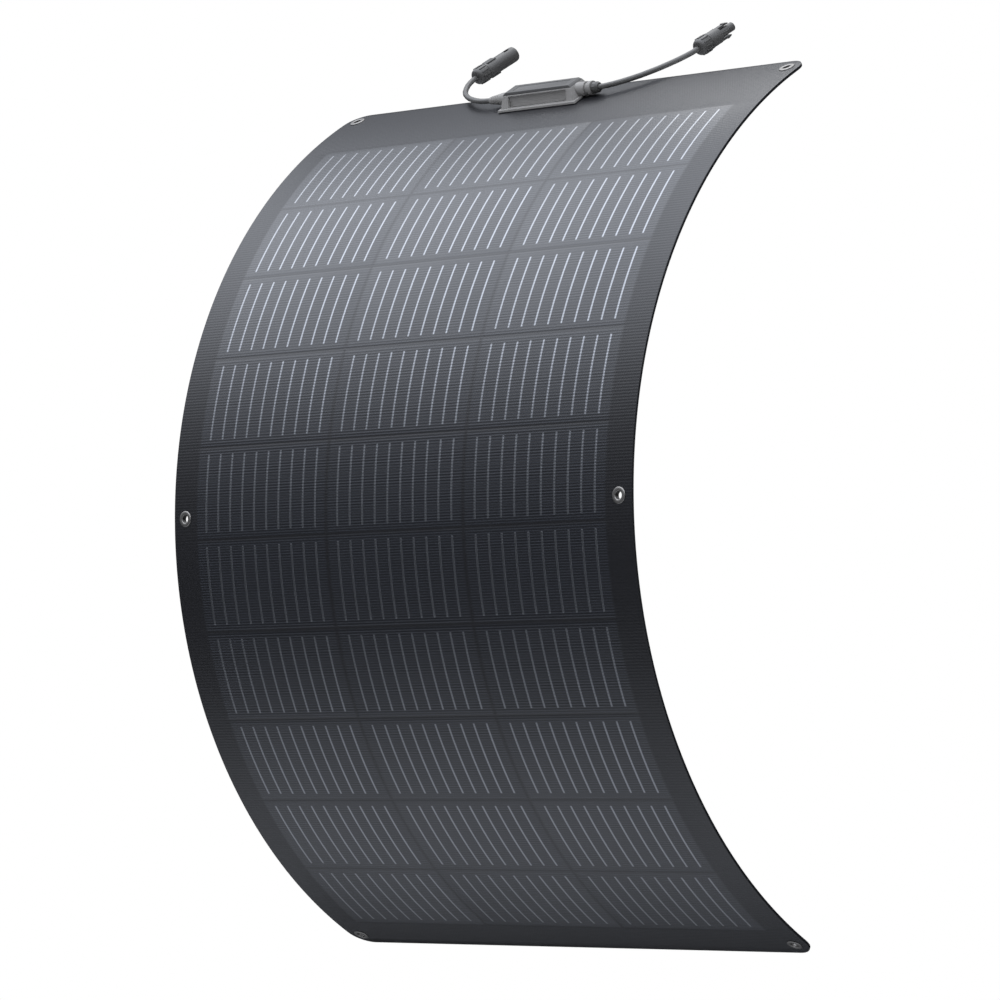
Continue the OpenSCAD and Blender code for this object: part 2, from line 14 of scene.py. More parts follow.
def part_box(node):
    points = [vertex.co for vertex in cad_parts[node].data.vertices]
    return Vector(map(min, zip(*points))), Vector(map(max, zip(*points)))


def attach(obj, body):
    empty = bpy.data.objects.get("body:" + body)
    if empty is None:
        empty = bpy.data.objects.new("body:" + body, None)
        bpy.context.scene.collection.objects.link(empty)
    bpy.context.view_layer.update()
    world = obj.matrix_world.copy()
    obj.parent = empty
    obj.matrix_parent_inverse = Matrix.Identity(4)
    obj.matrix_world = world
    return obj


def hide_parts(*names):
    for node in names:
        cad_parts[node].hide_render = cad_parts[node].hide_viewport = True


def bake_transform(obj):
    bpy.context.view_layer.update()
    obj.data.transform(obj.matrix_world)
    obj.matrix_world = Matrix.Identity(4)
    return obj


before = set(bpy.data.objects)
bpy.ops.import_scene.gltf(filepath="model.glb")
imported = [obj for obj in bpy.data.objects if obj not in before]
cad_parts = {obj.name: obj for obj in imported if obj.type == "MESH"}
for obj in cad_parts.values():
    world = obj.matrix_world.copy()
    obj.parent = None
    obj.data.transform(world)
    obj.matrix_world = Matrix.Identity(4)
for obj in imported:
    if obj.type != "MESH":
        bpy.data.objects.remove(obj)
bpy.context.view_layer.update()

# %% [markdown]
# ## The sheet's curve
# The laminate is bent to an arc, so a place on it is given by three lengths: x across
# the sheet, s down the curve from the top edge, and h out of the front face. The frame
# gives the width, and the rest follows from the length, the thickness and the bend.

# %% Sizes and the curve
MM = 0.001
SHEET_L = 1055 * MM
BEND = math.radians(126)
low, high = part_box("front_film_row_5")
SHEET_W = high[0] - low[0]
SHEET_T = 3 * MM
MID_R = SHEET_L / BEND
FRONT_R = MID_R + SHEET_T / 2
CENTRE_Y = MID_R - SHEET_T / 2        # the back face passes through the origin

CELL_W, CELL_L = 182 * MM, 91 * MM
COL_PITCH, ROW_PITCH = 183.6 * MM, 92.2 * MM
SIDE_MARGIN, TOP_MARGIN = 31.4 * MM, 89.2 * MM
COLUMNS, ROWS = 3, 10


def on_curve(x, s, h=0.0):
    """A place on the bent sheet, in the frame."""
    angle = (SHEET_L / 2 - s) / MID_R
    radius = FRONT_R + h
    return Vector((x, CENTRE_Y - radius * math.cos(angle), radius * math.sin(angle)))


def standing_on(x, s):
    """A matrix that puts flat work on the curve: its Y goes up the sheet, its Z outward."""
    angle = (SHEET_L / 2 - s) / MID_R
    up = Vector((0, math.sin(angle), math.cos(angle)))
    out = Vector((0, -math.cos(angle), math.sin(angle)))
    columns = Matrix((Vector((1, 0, 0)), up, out)).transposed()
    return Matrix.Translation(on_curve(x, s)) @ columns.to_4x4()


def fold(i):
    """Where bending line i lies, from the top edge: 1 is above the first row of cells."""
    return TOP_MARGIN - 0.6 * MM + (i - 1) * ROW_PITCH


print("width", round(SHEET_W, 4), "radius", round(MID_R, 4))

# %% [markdown]
# ## The camera
# A long lens from far away keeps the sides of the sheet nearly parallel. The camera
# stands low on the left of the cells and looks a little upward, with a slight roll.

# %% Camera
camera_data = bpy.data.cameras.new("camera")
camera_data.sensor_width = 36
camera_data.lens = 186.1
camera_data.clip_end = 100
camera = bpy.data.objects.new("camera", camera_data)
bpy.context.scene.collection.objects.link(camera)
turn = Matrix.Rotation(math.radians(43.08), 4, "Z")
tilt = Matrix.Rotation(math.radians(93.02), 4, "X")
roll = Matrix.Rotation(math.radians(-0.36), 4, "Z")
camera.matrix_world = Matrix.Translation((3.4608, -3.5542, -0.2549)) @ turn @ tilt @ roll
bpy.context.scene.camera = camera
bpy.context.scene.view_settings.view_transform = "Standard"

# %% [markdown]
# ## Two helpers for every finish
# Colours are written as hex, the way a paint chart gives them, and a shader wants them
# linear. The second helper adds one node with its settings and its links, so that a
# material reads as a list of what it is made of.

# %% Colour and node helpers


def linear(hex_colour):
    """A linear colour, with alpha, from an sRGB hex value such as "#808080"."""
    parts = [int(hex_colour[i:i + 2], 16) / 255 for i in (1, 3, 5)]
    return [c / 12.92 if c <= 0.04045 else ((c + 0.055) / 1.055) ** 2.4 for c in parts] + [1]


def add_node(tree, kind, settings=None, inputs=None):
    """Adds a node. A setting is an attribute; an input is a value or another node's output."""
    made = tree.nodes.new(kind)
    for key, value in (settings or {}).items():
        setattr(made, key, value)
    for key, value in (inputs or {}).items():
        if isinstance(value, bpy.types.NodeSocket):
            tree.links.new(value, made.inputs[key])
        else:
            made.inputs[key].default_value = value
    return made


def new_material(name, roughness, ior=1.5, metallic=0.0):
    """An empty material with its shader, and the tree that its pattern goes into."""
    material = bpy.data.materials.new(name)
    material.use_nodes = True
    shader = material.node_tree.nodes["Principled BSDF"]
    shader.inputs["Roughness"].default_value = roughness
    shader.inputs["IOR"].default_value = ior
    shader.inputs["Metallic"].default_value = metallic
    return material, material.node_tree, shader


# %% [markdown]
# ## Moulded plastics and rubber
# The junction box is moulded ABS with a fine spark-eroded grain, the connectors are PPO,
# and the leads have a cross-linked polyethylene jacket. All three are grey or black
# plastics that differ in colour, in gloss and in the size of their grain, so one recipe
# with three numbers serves them: a noise for the mould's grain, and a slow noise that
# makes the colour and the gloss a little uneven.

# %% Moulded plastic recipe


def moulded(name, colour, worn_colour, roughness, grain_mm, depth_mm):
    """Plastic from a grained mould. grain_mm is the size of one grain."""
    material, tree, shader = new_material(name, roughness, 1.5)
    shader.inputs["Specular IOR Level"].default_value = 0.3
    place = add_node(tree, "ShaderNodeTexCoord").outputs["Object"]
    grain = add_node(tree, "ShaderNodeTexNoise", None,
                     {"Vector": place, "Scale": 1 / (grain_mm * MM), "Detail": 3.0, "Roughness": 0.6})
    cloud = add_node(tree, "ShaderNodeTexNoise", None,
                     {"Vector": place, "Scale": 1 / (18 * MM), "Detail": 2.0})
    tone = add_node(tree, "ShaderNodeMix", {"data_type": "RGBA"},
                    {"Factor": cloud.outputs["Fac"], "A": linear(colour), "B": linear(worn_colour)})
    tree.links.new(tone.outputs["Result"], shader.inputs["Base Color"])
    gloss = add_node(tree, "ShaderNodeMapRange", None,
                     {"Value": grain.outputs["Fac"], "To Min": roughness - 0.08,
                      "To Max": roughness + 0.1})
    tree.links.new(gloss.outputs["Result"], shader.inputs["Roughness"])
    bump = add_node(tree, "ShaderNodeBump", None,
                    {"Height": grain.outputs["Fac"], "Distance": depth_mm * MM, "Strength": 0.6})
    tree.links.new(bump.outputs["Normal"], shader.inputs["Normal"])
    return material


# ABS for the box: mid grey, matt, with a grain of about 0.6 mm, drawn coarse enough to show
box_abs = moulded("ABS, moulded, mid grey", "#656360", "#6f6d6a", 0.55, 0.9, 0.05)
# The lid is the same plastic in a darker grey
lid_abs = moulded("ABS, moulded, dark grey", "#31302f", "#393837", 0.5, 0.9, 0.05)
# PPO of the connectors: nearly black, a little glossier
connector_ppo = moulded("PPO, moulded, black", "#363533", "#3f3e3c", 0.42, 0.8, 0.04)
# Jacket of the leads: satin, with a fine drawn grain
jacket_xlpe = moulded("XLPE jacket, extruded, charcoal", "#42413f", "#4b4a48", 0.45, 1.2, 0.03)
# Soft relief where the left lead leaves the box
relief_tpe = moulded("TPE strain relief, moulded, grey", "#656360", "#6d6b68", 0.55, 0.8, 0.04)
# Silicone of the seals and of the pad under the box
seal_epdm = moulded("EPDM rubber, moulded, black", "#18181a", "#1e1e20", 0.6, 0.7, 0.03)
seal_silicone = moulded("Silicone rubber, moulded, red", "#8a3226", "#93392b", 0.55, 0.7, 0.03)
bond_silicone = moulded("Silicone adhesive, black", "#1c1c1e", "#242426", 0.5, 3.0, 0.1)
diode_epoxy = moulded("Epoxy, moulded, black", "#202124", "#28292c", 0.45, 0.6, 0.03)

# %% [markdown]
# ## Plated metals
# The eyelets are nickel-plated brass, stamped and rolled, and the contacts are tinned
# copper. A plated part shows faint scratches and a slightly cloudy plating, which a
# stretched noise on the roughness gives.

# %% Plated metal recipe


def plated(name, colour, roughness, scratch_mm):
    """Plated metal with fine handling scratches."""
    material, tree, shader = new_material(name, roughness, 1.45, 1.0)
    shader.inputs["Base Color"].default_value = linear(colour)
    place = add_node(tree, "ShaderNodeTexCoord").outputs["Object"]
    longways = add_node(tree, "ShaderNodeMapping", None, {"Vector": place, "Scale": (1, 0.15, 0.15)})
    scratch = add_node(tree, "ShaderNodeTexNoise", None,
                       {"Vector": longways.outputs["Vector"], "Scale": 1 / (scratch_mm * MM),
                        "Detail": 4.0})
    cloudy = add_node(tree, "ShaderNodeMapRange", None,
                      {"Value": scratch.outputs["Fac"], "To Min": roughness - 0.1,
                       "To Max": roughness + 0.15})
    tree.links.new(cloudy.outputs["Result"], shader.inputs["Roughness"])
    bump = add_node(tree, "ShaderNodeBump", None,
                    {"Height": scratch.outputs["Fac"], "Distance": 0.02 * MM, "Strength": 0.4})
    tree.links.new(bump.outputs["Normal"], shader.inputs["Normal"])
    return material


nickel_plate = plated("Nickel plate on brass, stamped", "#72706d", 0.42, 0.5)
tinned_copper = plated("Tinned copper, rolled", "#b9b9b6", 0.35, 0.6)
terminal_brass = plated("Brass, stamped", "#b59a5c", 0.32, 0.6)

# %% [markdown]
# ## The leads
# Each lead is 5.5 mm thick and stiff. It leaves the box along the sheet, turns up the
# slope in one easy bend and ends in its connector, above the top edge. The route is a
# short list of points on the plane of the box, in millimetres, which is the list that
# the CAD model sweeps its tube along. A curve with a round bevel is the right tool: it
# keeps a lead's thickness through every bend.

# %% Lead routes
BOX_X, BOX_S = -16 * MM, 26 * MM
LEAD_H, LEAD_D = 7.5 * MM, 5.5 * MM
left_route = [(-66, 0), (-74, 0), (-82, 0.5), (-90, 2), (-98, 5), (-106, 9), (-115, 14),
              (-123, 20), (-131, 27), (-138, 35), (-144, 44), (-149, 53), (-152, 61),
              (-154, 69), (-153.8, 75), (-153.2, 81)]
right_route = [(66, 0), (74, 0), (82, 1.5), (90, 4), (98, 7.5), (106, 12), (114, 17.5),
               (121, 24), (128, 31), (134, 39), (140, 48), (144, 56), (147, 64),
               (147.9, 70), (148.2, 75), (148.8, 81)]
box_place = standing_on(BOX_X, BOX_S)


def lead(name, route):
    """A lead as a smooth bevelled curve. Returns it with its length and its points."""
    points = [box_place @ Vector((x * MM, y * MM, LEAD_H)) for x, y in route]
    curve = bpy.data.curves.new(name, "CURVE")
    curve.dimensions = "3D"
    curve.bevel_depth = LEAD_D / 2
    curve.bevel_resolution = 8
    curve.use_fill_caps = True
    spline = curve.splines.new("POLY")
    spline.points.add(len(points) - 1)
    for spot, point in zip(spline.points, points):
        spot.co = (*point, 1)
    spline.use_smooth = True
    piece = bpy.data.objects.new(name, curve)
    bpy.context.scene.collection.objects.link(piece)
    curve.materials.append(jacket_xlpe)
    length = sum((b - a).length for a, b in zip(points, points[1:]))
    print(name, "is", round(length, 4), "m long")
    return piece, length, points


left_lead, left_length, left_points = lead("left_lead_jacket", left_route)
right_lead, right_length, right_points = lead("right_lead_jacket", right_route)
for piece, node in ((left_lead, "left_lead"), (right_lead, "right_lead")):
    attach(piece, "top_edge")
    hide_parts(node)

# %% [markdown]
# ## Working by hand in edit mode
# The next pieces are modelled as one would at the screen: add a primitive, go into edit
# mode, pick faces or edges by their place, and move, inset or bevel them. These helpers
# do the picking, and finish a piece.

# %% Modelling helpers


def nothing_selected():
    if bpy.context.object and bpy.context.object.mode != "OBJECT":
        bpy.ops.object.mode_set(mode="OBJECT")
    bpy.ops.object.select_all(action="DESELECT")


def start_block(name, low, high):
    """A cube between two corners, open in edit mode."""
    nothing_selected()
    bpy.ops.mesh.primitive_cube_add(size=1, location=(Vector(low) + Vector(high)) / 2)
    piece = bpy.context.object
    piece.name = name
    piece.scale = Vector(high) - Vector(low)
    bpy.ops.object.transform_apply(location=True, rotation=True, scale=True)
    bpy.ops.object.mode_set(mode="EDIT")
    return piece


def pick(piece, kind, test):
    """Selects only the vertices, edges or faces ("VERT", "EDGE", "FACE") that pass the test."""
    bpy.ops.mesh.select_mode(type=kind)
    bpy.ops.mesh.select_all(action="DESELECT")
    mesh = bmesh.from_edit_mesh(piece.data)
    for part in {"VERT": mesh.verts, "EDGE": mesh.edges, "FACE": mesh.faces}[kind]:
        if test(part):
            part.select_set(True)
    mesh.select_flush_mode()
    bmesh.update_edit_mesh(piece.data)


def middle(edge):
    return (edge.verts[0].co + edge.verts[1].co) / 2


def slice_at(axis, places):
    """Cuts the whole mesh across an axis (0, 1 or 2) at each place."""
    normal = Vector((0, 0, 0))
    normal[axis] = 1
    for place in places:
        bpy.ops.mesh.select_all(action="SELECT")
        bpy.ops.mesh.bisect(plane_co=normal * place, plane_no=normal)


def finish_piece(piece, material, angle=30):
    """Out of edit mode: merged, normals outward, smooth by angle, with its material."""
    if piece.mode == "EDIT":
        bpy.ops.mesh.select_all(action="SELECT")
        bpy.ops.mesh.remove_doubles(threshold=0.001 * MM)
        bpy.ops.mesh.normals_make_consistent(inside=False)
        bpy.ops.object.mode_set(mode="OBJECT")
    nothing_selected()
    piece.select_set(True)
    bpy.context.view_layer.objects.active = piece
    bpy.ops.object.shade_smooth_by_angle(angle=math.radians(angle))
    piece.data.materials.clear()
    piece.data.materials.append(material)
    return piece


def cut_with(piece, cutter):
    """Takes the cutter away from the piece, and removes the cutter."""
    nothing_selected()
    bpy.context.view_layer.objects.active = piece
    piece.select_set(True)
    cut = piece.modifiers.new("cut", "BOOLEAN")
    cut.object = cutter
    cut.operation = "DIFFERENCE"
    cut.solver = "EXACT"
    bpy.ops.object.modifier_apply(modifier="cut")
    bpy.data.objects.remove(cutter)


# %% [markdown]
# ## The face of the laminate
# Under a clear, finely dimpled ETFE film lie thirty half-cut cells. Each is nearly black
# silicon with hair-thin silver fingers across it and ten tinned ribbons down it. None of
# this is thick enough to model one by one, so it is one material that reads the sheet's
# own UV map, where one unit is one metre: U runs across and V runs down the curve. The
# map bends with the sheet, so the pattern never slides.
# The fingers are 1.3 mm apart on a real cell and the film's dimples about 1 mm; they are
# drawn 2.6 mm and 3 mm apart, so that they show at this size.

# %% Film and cells


def inside(tree, value, low_edge, high_edge, blur):
    """A mask that is 1 between two edges, blurred by a little, from clamped ramps."""
    rise = add_node(tree, "ShaderNodeMapRange", None,
                    {"Value": value, "From Min": low_edge - blur, "From Max": low_edge + blur})
    fall = add_node(tree, "ShaderNodeMapRange", None,
                    {"Value": value, "From Min": high_edge - blur, "From Max": high_edge + blur,
                     "To Min": 1.0, "To Max": 0.0})
    both = add_node(tree, "ShaderNodeMath", {"operation": "MULTIPLY"},
                    {0: rise.outputs["Result"], 1: fall.outputs["Result"]})
    return both.outputs["Value"]


def film_over_cells():
    material, tree, shader = new_material("ETFE film over silicon cells", 0.3, 1.45)
    shader.inputs["Specular IOR Level"].default_value = 0.0
    shader.inputs["Coat IOR"].default_value = 1.42
    shader.inputs["Coat Roughness"].default_value = 0.34
    uv = add_node(tree, "ShaderNodeUVMap", {"uv_map": "Sheet"}).outputs["UV"]
    split = add_node(tree, "ShaderNodeSeparateXYZ", None, {"Vector": uv})
    # Millimetres from the first cell's corner, then within one cell
    across = add_node(tree, "ShaderNodeMath", {"operation": "MULTIPLY_ADD"},
                      {0: split.outputs["X"], 1: 1000.0, 2: -SIDE_MARGIN / MM}).outputs["Value"]
    down = add_node(tree, "ShaderNodeMath", {"operation": "MULTIPLY_ADD"},
                    {0: split.outputs["Y"], 1: 1000.0, 2: -TOP_MARGIN / MM}).outputs["Value"]
    in_column = add_node(tree, "ShaderNodeMath", {"operation": "FLOORED_MODULO"},
                         {0: across, 1: COL_PITCH / MM}).outputs["Value"]
    in_row = add_node(tree, "ShaderNodeMath", {"operation": "FLOORED_MODULO"},
                      {0: down, 1: ROW_PITCH / MM}).outputs["Value"]
    field_x = inside(tree, across, 0.0, COLUMNS * COL_PITCH / MM - 1.6, 1.2)
    field_y = inside(tree, down, 0.0, ROWS * ROW_PITCH / MM - 1.2, 1.2)
    field = add_node(tree, "ShaderNodeMath", {"operation": "MULTIPLY"},
                     {0: field_x, 1: field_y}).outputs["Value"]
    cell_x = inside(tree, in_column, 1.0, CELL_W / MM - 1.0, 1.6)
    cell_y = inside(tree, in_row, 0.6, CELL_L / MM - 0.6, 0.9)
    cell_xy = add_node(tree, "ShaderNodeMath", {"operation": "MULTIPLY"},
                       {0: cell_x, 1: cell_y}).outputs["Value"]
    cell = add_node(tree, "ShaderNodeMath", {"operation": "MULTIPLY"},
                    {0: cell_xy, 1: field}).outputs["Value"]
    # Ten ribbons, 17 mm apart, from 7 mm inside each end of the cell
    first, ribbon_pitch = 13.9, 17.0
    from_first = add_node(tree, "ShaderNodeMath", {"operation": "SUBTRACT"},
                          {0: in_column, 1: first - 0.5}).outputs["Value"]
    in_pitch = add_node(tree, "ShaderNodeMath", {"operation": "FLOORED_MODULO"},
                        {0: from_first, 1: ribbon_pitch}).outputs["Value"]
    stripe = inside(tree, in_pitch, 0.05, 2.2, 0.3)
    stripe_x = inside(tree, in_column, first - 1, CELL_W / MM - first + 1, 0.1)
    stripe_y = inside(tree, in_row, 7.0, CELL_L / MM - 7.0, 0.5)
    ribbon_xy = add_node(tree, "ShaderNodeMath", {"operation": "MULTIPLY"},
                         {0: stripe, 1: stripe_x}).outputs["Value"]
    ribbon_end = add_node(tree, "ShaderNodeMath", {"operation": "MULTIPLY"},
                          {0: ribbon_xy, 1: stripe_y}).outputs["Value"]
    ribbon = add_node(tree, "ShaderNodeMath", {"operation": "MULTIPLY"},
                      {0: ribbon_end, 1: cell}).outputs["Value"]
    # Silver fingers across the cell
    in_finger = add_node(tree, "ShaderNodeMath", {"operation": "FLOORED_MODULO"},
                         {0: in_row, 1: 2.6}).outputs["Value"]
    finger_line = inside(tree, in_finger, 0.3, 1.1, 0.25)
    finger = add_node(tree, "ShaderNodeMath", {"operation": "MULTIPLY"},
                      {0: finger_line, 1: cell}).outputs["Value"]
    # Slow unevenness from cell to cell and within one
    cloud = add_node(tree, "ShaderNodeTexNoise", None,
                     {"Vector": uv, "Scale": 9.0, "Detail": 3.0}).outputs["Fac"]
    silicon = add_node(tree, "ShaderNodeMix", {"data_type": "RGBA"},
                       {"Factor": cloud, "A": linear("#08090c"), "B": linear("#0d0e12")})
    lined = add_node(tree, "ShaderNodeMix", {"data_type": "RGBA"},
                     {"Factor": add_node(tree, "ShaderNodeMath", {"operation": "MULTIPLY"},
                                         {0: finger, 1: 0.7}).outputs["Value"],
                      "A": silicon.outputs["Result"], "B": linear("#27292e")})
    border = add_node(tree, "ShaderNodeMix", {"data_type": "RGBA"},
                      {"Factor": cell, "A": linear("#111113"), "B": lined.outputs["Result"]})
    with_ribbons = add_node(tree, "ShaderNodeMix", {"data_type": "RGBA"},
                            {"Factor": ribbon, "A": border.outputs["Result"], "B": linear("#66686c")})
    tree.links.new(with_ribbons.outputs["Result"], shader.inputs["Base Color"])
    tree.links.new(ribbon, shader.inputs["Metallic"])
    # The film lies flat and glossy over a cell; over the glass-fibre border it stays duller
    glossy = add_node(tree, "ShaderNodeMapRange", None, {"Value": field, "To Min": 0.8, "To Max": 0.88})
    gloss = add_node(tree, "ShaderNodeMath", {"operation": "MULTIPLY_ADD"},
                     {0: cell, 1: 0.16, 2: glossy.outputs["Result"]})
    tree.links.new(gloss.outputs["Value"], shader.inputs["Coat Weight"])
    # Dimples of the film: ridges across the sheet, broken up by a finer wave along them
    waves = {}
    for key, source, pitch in (("down", down, 3.0), ("across", across, 2.2)):
        turns = add_node(tree, "ShaderNodeMath", {"operation": "MULTIPLY"},
                         {0: source, 1: 2 * math.pi / pitch})
        waves[key] = add_node(tree, "ShaderNodeMath", {"operation": "SINE"},
                              {0: turns.outputs["Value"]}).outputs["Value"]
    grain = add_node(tree, "ShaderNodeTexNoise", None,
                     {"Vector": uv, "Scale": 1 / (1.6 * MM), "Detail": 2.0}).outputs["Fac"]
    woven = add_node(tree, "ShaderNodeMath", {"operation": "MULTIPLY"},
                     {0: waves["down"], 1: waves["across"]}).outputs["Value"]
    ridged = add_node(tree, "ShaderNodeMath", {"operation": "MULTIPLY_ADD"},
                      {0: woven, 1: 0.6, 2: waves["down"]}).outputs["Value"]
    dimple = add_node(tree, "ShaderNodeMath", {"operation": "MULTIPLY_ADD"},
                      {0: grain, 1: 2.5, 2: ridged}).outputs["Value"]
    height = add_node(tree, "ShaderNodeMath", {"operation": "MULTIPLY_ADD"},
                      {0: ribbon, 1: 2.0, 2: dimple}).outputs["Value"]
    bump = add_node(tree, "ShaderNodeBump", None,
                    {"Height": height, "Distance": 0.05 * MM, "Strength": 0.65})
    tree.links.new(bump.outputs["Normal"], shader.inputs["Normal"])
    tree.links.new(bump.outputs["Normal"], shader.inputs["Coat Normal"])
    return material


film_cells = film_over_cells()

# %% [markdown]
# ## The laminate
# The sheet is modelled flat, as the real one is made, and then laid on its curve. It is
# cut into thirteen pieces along its length. Each long piece runs from the middle of one
# CAD strip to the middle of the next, across the hinge between them. A cube is cut across
# every 5 mm for the curve, the outer edges are rounded over, and each cell stands 0.15 mm
# proud of the film around it, with a soft slope, as laminated cells do.

# %% Flat pieces of the laminate
EMBOSS, SLOPE = 0.15 * MM, 1.2 * MM
EDGE_ROUND, CORNER_R = 0.5 * MM, 22 * MM
EYELET_SIDE, EYELET_END = 16 * MM, 18 * MM
EYELET_HOLE = 4.9 * MM
eyelet_s = {"top": EYELET_END, "middle": SHEET_L / 2, "bottom": SHEET_L - EYELET_END}


def cell_spans(count, start, pitch, size):
    """The low and the high edge of each cell along one direction."""
    return [(start + n * pitch, start + n * pitch + size) for n in range(count)]


columns = cell_spans(COLUMNS, -SHEET_W / 2 + SIDE_MARGIN, COL_PITCH, CELL_W)
rows = cell_spans(ROWS, TOP_MARGIN, ROW_PITCH, CELL_L)


def laminate_piece(name, s0, s1):
    """One flat piece between two distances from the top edge. Flat, Y is minus s."""
    half = SHEET_W / 2
    piece = start_block(name, (-half, -s1, -SHEET_T), (half, -s0, 0))
    at_top, at_bottom = s0 < 1e-6, s1 > SHEET_L - 1e-6
    corner_y = 0 if at_top else -SHEET_L

    def on_seam(y):
        return (abs(y + s0) < 1e-6 and not at_top) or (abs(y + s1) < 1e-6 and not at_bottom)

    if at_top or at_bottom:
        pick(piece, "EDGE", lambda e: abs(e.verts[0].co.z - e.verts[1].co.z) > SHEET_T / 2
             and abs(middle(e).y - corner_y) < 1e-6)
        bpy.ops.mesh.bevel(offset=CORNER_R, segments=10, affect="EDGES")
    pick(piece, "EDGE", lambda e: abs(e.verts[0].co.z - e.verts[1].co.z) < 1e-6
         and not on_seam(middle(e).y))
    bpy.ops.mesh.bevel(offset=EDGE_ROUND, segments=2, affect="EDGES")
    bpy.ops.object.mode_set(mode="OBJECT")
    for s in eyelet_s.values():
        if s0 < s < s1:
            for side in (-1, 1):
                nothing_selected()
                spot = (side * (half - EYELET_SIDE), -s, -SHEET_T / 2)
                bpy.ops.mesh.primitive_cylinder_add(vertices=40, radius=EYELET_HOLE, depth=0.02,
                                                    location=spot)
                cut_with(piece, bpy.context.object)
    nothing_selected()
    bpy.context.view_layer.objects.active = piece
    piece.select_set(True)
    bpy.ops.object.mode_set(mode="EDIT")
    steps = round((s1 - s0) / (5 * MM))
    cuts = {round(-s0 - (s1 - s0) * n / steps, 6) for n in range(1, steps)}
    near = [edge for span in rows for edge in span if s0 < edge < s1]
    cuts = {y for y in cuts if all(abs(y + edge) > 2 * MM for edge in near)}
    for top, end in rows:
        cuts |= {-s for s in (top, top + SLOPE, end - SLOPE, end) if s0 < s < s1}
    slice_at(1, sorted(cuts))
    # Two cuts close to the sides keep the rounded edge out of the wide face's shading
    slice_at(0, [EDGE_ROUND * 3 - half, half - EDGE_ROUND * 3])
    if near:
        slice_at(0, [x for left, right in columns for x in (left, left + SLOPE, right - SLOPE, right)])
        pick(piece, "VERT", lambda v: v.co.z > -1e-7
             and any(left + SLOPE - 1e-6 < v.co.x < right - SLOPE + 1e-6 for left, right in columns)
             and any(top + SLOPE - 1e-6 < -v.co.y < end - SLOPE + 1e-6 for top, end in rows))
        bpy.ops.transform.translate(value=(0, 0, EMBOSS))
    bpy.ops.mesh.select_all(action="SELECT")
    bpy.ops.mesh.normals_make_consistent(inside=False)
    bpy.ops.object.mode_set(mode="OBJECT")
    return piece


def map_and_bend(piece):
    """Writes the sheet's UV map, then lays the flat piece on the curve."""
    sheet_map = piece.data.uv_layers.active or piece.data.uv_layers.new()
    sheet_map.name = "Sheet"
    for loop in piece.data.loops:
        flat = piece.data.vertices[loop.vertex_index].co
        sheet_map.data[loop.index].uv = (flat.x + SHEET_W / 2, -flat.y)
    for vertex in piece.data.vertices:
        vertex.co = on_curve(vertex.co.x, -vertex.co.y, vertex.co.z)


# %% [markdown]
# ## The back and the edges
# The back sheet is a dark glass-fibre board under a matt film, and the cut edge is
# darker still where the layers were pressed together. Both are plain to look at, with a faint
# weave that telegraphs through, so they are two more materials on the same pieces.

# %% Back sheet and edge


def woven_back():
    material, tree, shader = new_material("Glass-fibre back sheet, matt film", 0.55, 1.45)
    uv = add_node(tree, "ShaderNodeUVMap", {"uv_map": "Sheet"}).outputs["UV"]
    weave = add_node(tree, "ShaderNodeTexChecker", None,
                     {"Vector": uv, "Scale": 1 / (3 * MM), "Color1": linear("#17181a"),
                      "Color2": linear("#26282b")})
    cloud = add_node(tree, "ShaderNodeTexNoise", None, {"Vector": uv, "Scale": 14.0, "Detail": 3.0})
    tone = add_node(tree, "ShaderNodeMix", {"data_type": "RGBA"},
                    {"Factor": cloud.outputs["Fac"], "A": weave.outputs["Color"],
                     "B": linear("#232427")})
    tree.links.new(tone.outputs["Result"], shader.inputs["Base Color"])
    bump = add_node(tree, "ShaderNodeBump", None,
                    {"Height": weave.outputs["Fac"], "Distance": 0.06 * MM, "Strength": 0.7})
    tree.links.new(bump.outputs["Normal"], shader.inputs["Normal"])
    return material


back_board = woven_back()
edge_resin = moulded("Pressed laminate edge, black", "#08080a", "#0e0e10", 0.5, 1.5, 0.05)

# %% The thirteen pieces, bent across their hinges
names = ["top_edge"] + [f"row_{n}" for n in range(1, ROWS + 1)] + ["bottom_edge"]
strip_nodes = {"top_edge": ["front_film_top", "back_sheet_top"],
               "bottom_edge": ["front_film_bottom", "back_sheet_bottom"]}
for n in range(1, ROWS + 1):
    strip_nodes[f"row_{n}"] = [f"front_film_row_{n}", f"back_sheet_row_{n}", f"cells_row_{n}"]
reach = [28 * MM] + [ROW_PITCH / 2] * (ROWS - 1) + [18 * MM]   # of each hinge's bend
seams = [0, fold(1) - reach[0]]
seams += [fold(n) + ROW_PITCH / 2 for n in range(1, ROWS + 1)]
seams += [fold(ROWS + 1) + reach[-1], SHEET_L]

for n, (s0, s1) in enumerate(zip(seams, seams[1:])):
    piece = laminate_piece(f"laminate_{n:02d}", s0, s1)
    map_and_bend(piece)
    finish_piece(piece, film_cells, angle=35)
    piece.data.materials.append(back_board)
    piece.data.materials.append(edge_resin)
    for face in piece.data.polygons:
        centre = face.center - Vector((0, CENTRE_Y, 0))
        outward = Vector((0, centre.y, centre.z)).normalized().dot(face.normal)
        face.material_index = 0 if outward > 0.9 else 1 if outward < -0.9 else 2
    if n == 0 or n == len(seams) - 2:
        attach(piece, names[0] if n == 0 else names[-1])
    else:
        start, end = fold(n) - reach[n - 1], fold(n) + reach[n - 1]
        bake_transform(piece)
for n, body in enumerate(names):
    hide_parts(*strip_nodes[body])

# %% [markdown]
# ## Eyelets
# An eyelet is stamped from thin brass: a rolled flange in front, a barrel through the
# sheet, and a rim turned over a washer behind. It is round, so one profile is spun about
# the eyelet's own axis, and the finished mesh is copied to the other places.

# %% Spinning a profile


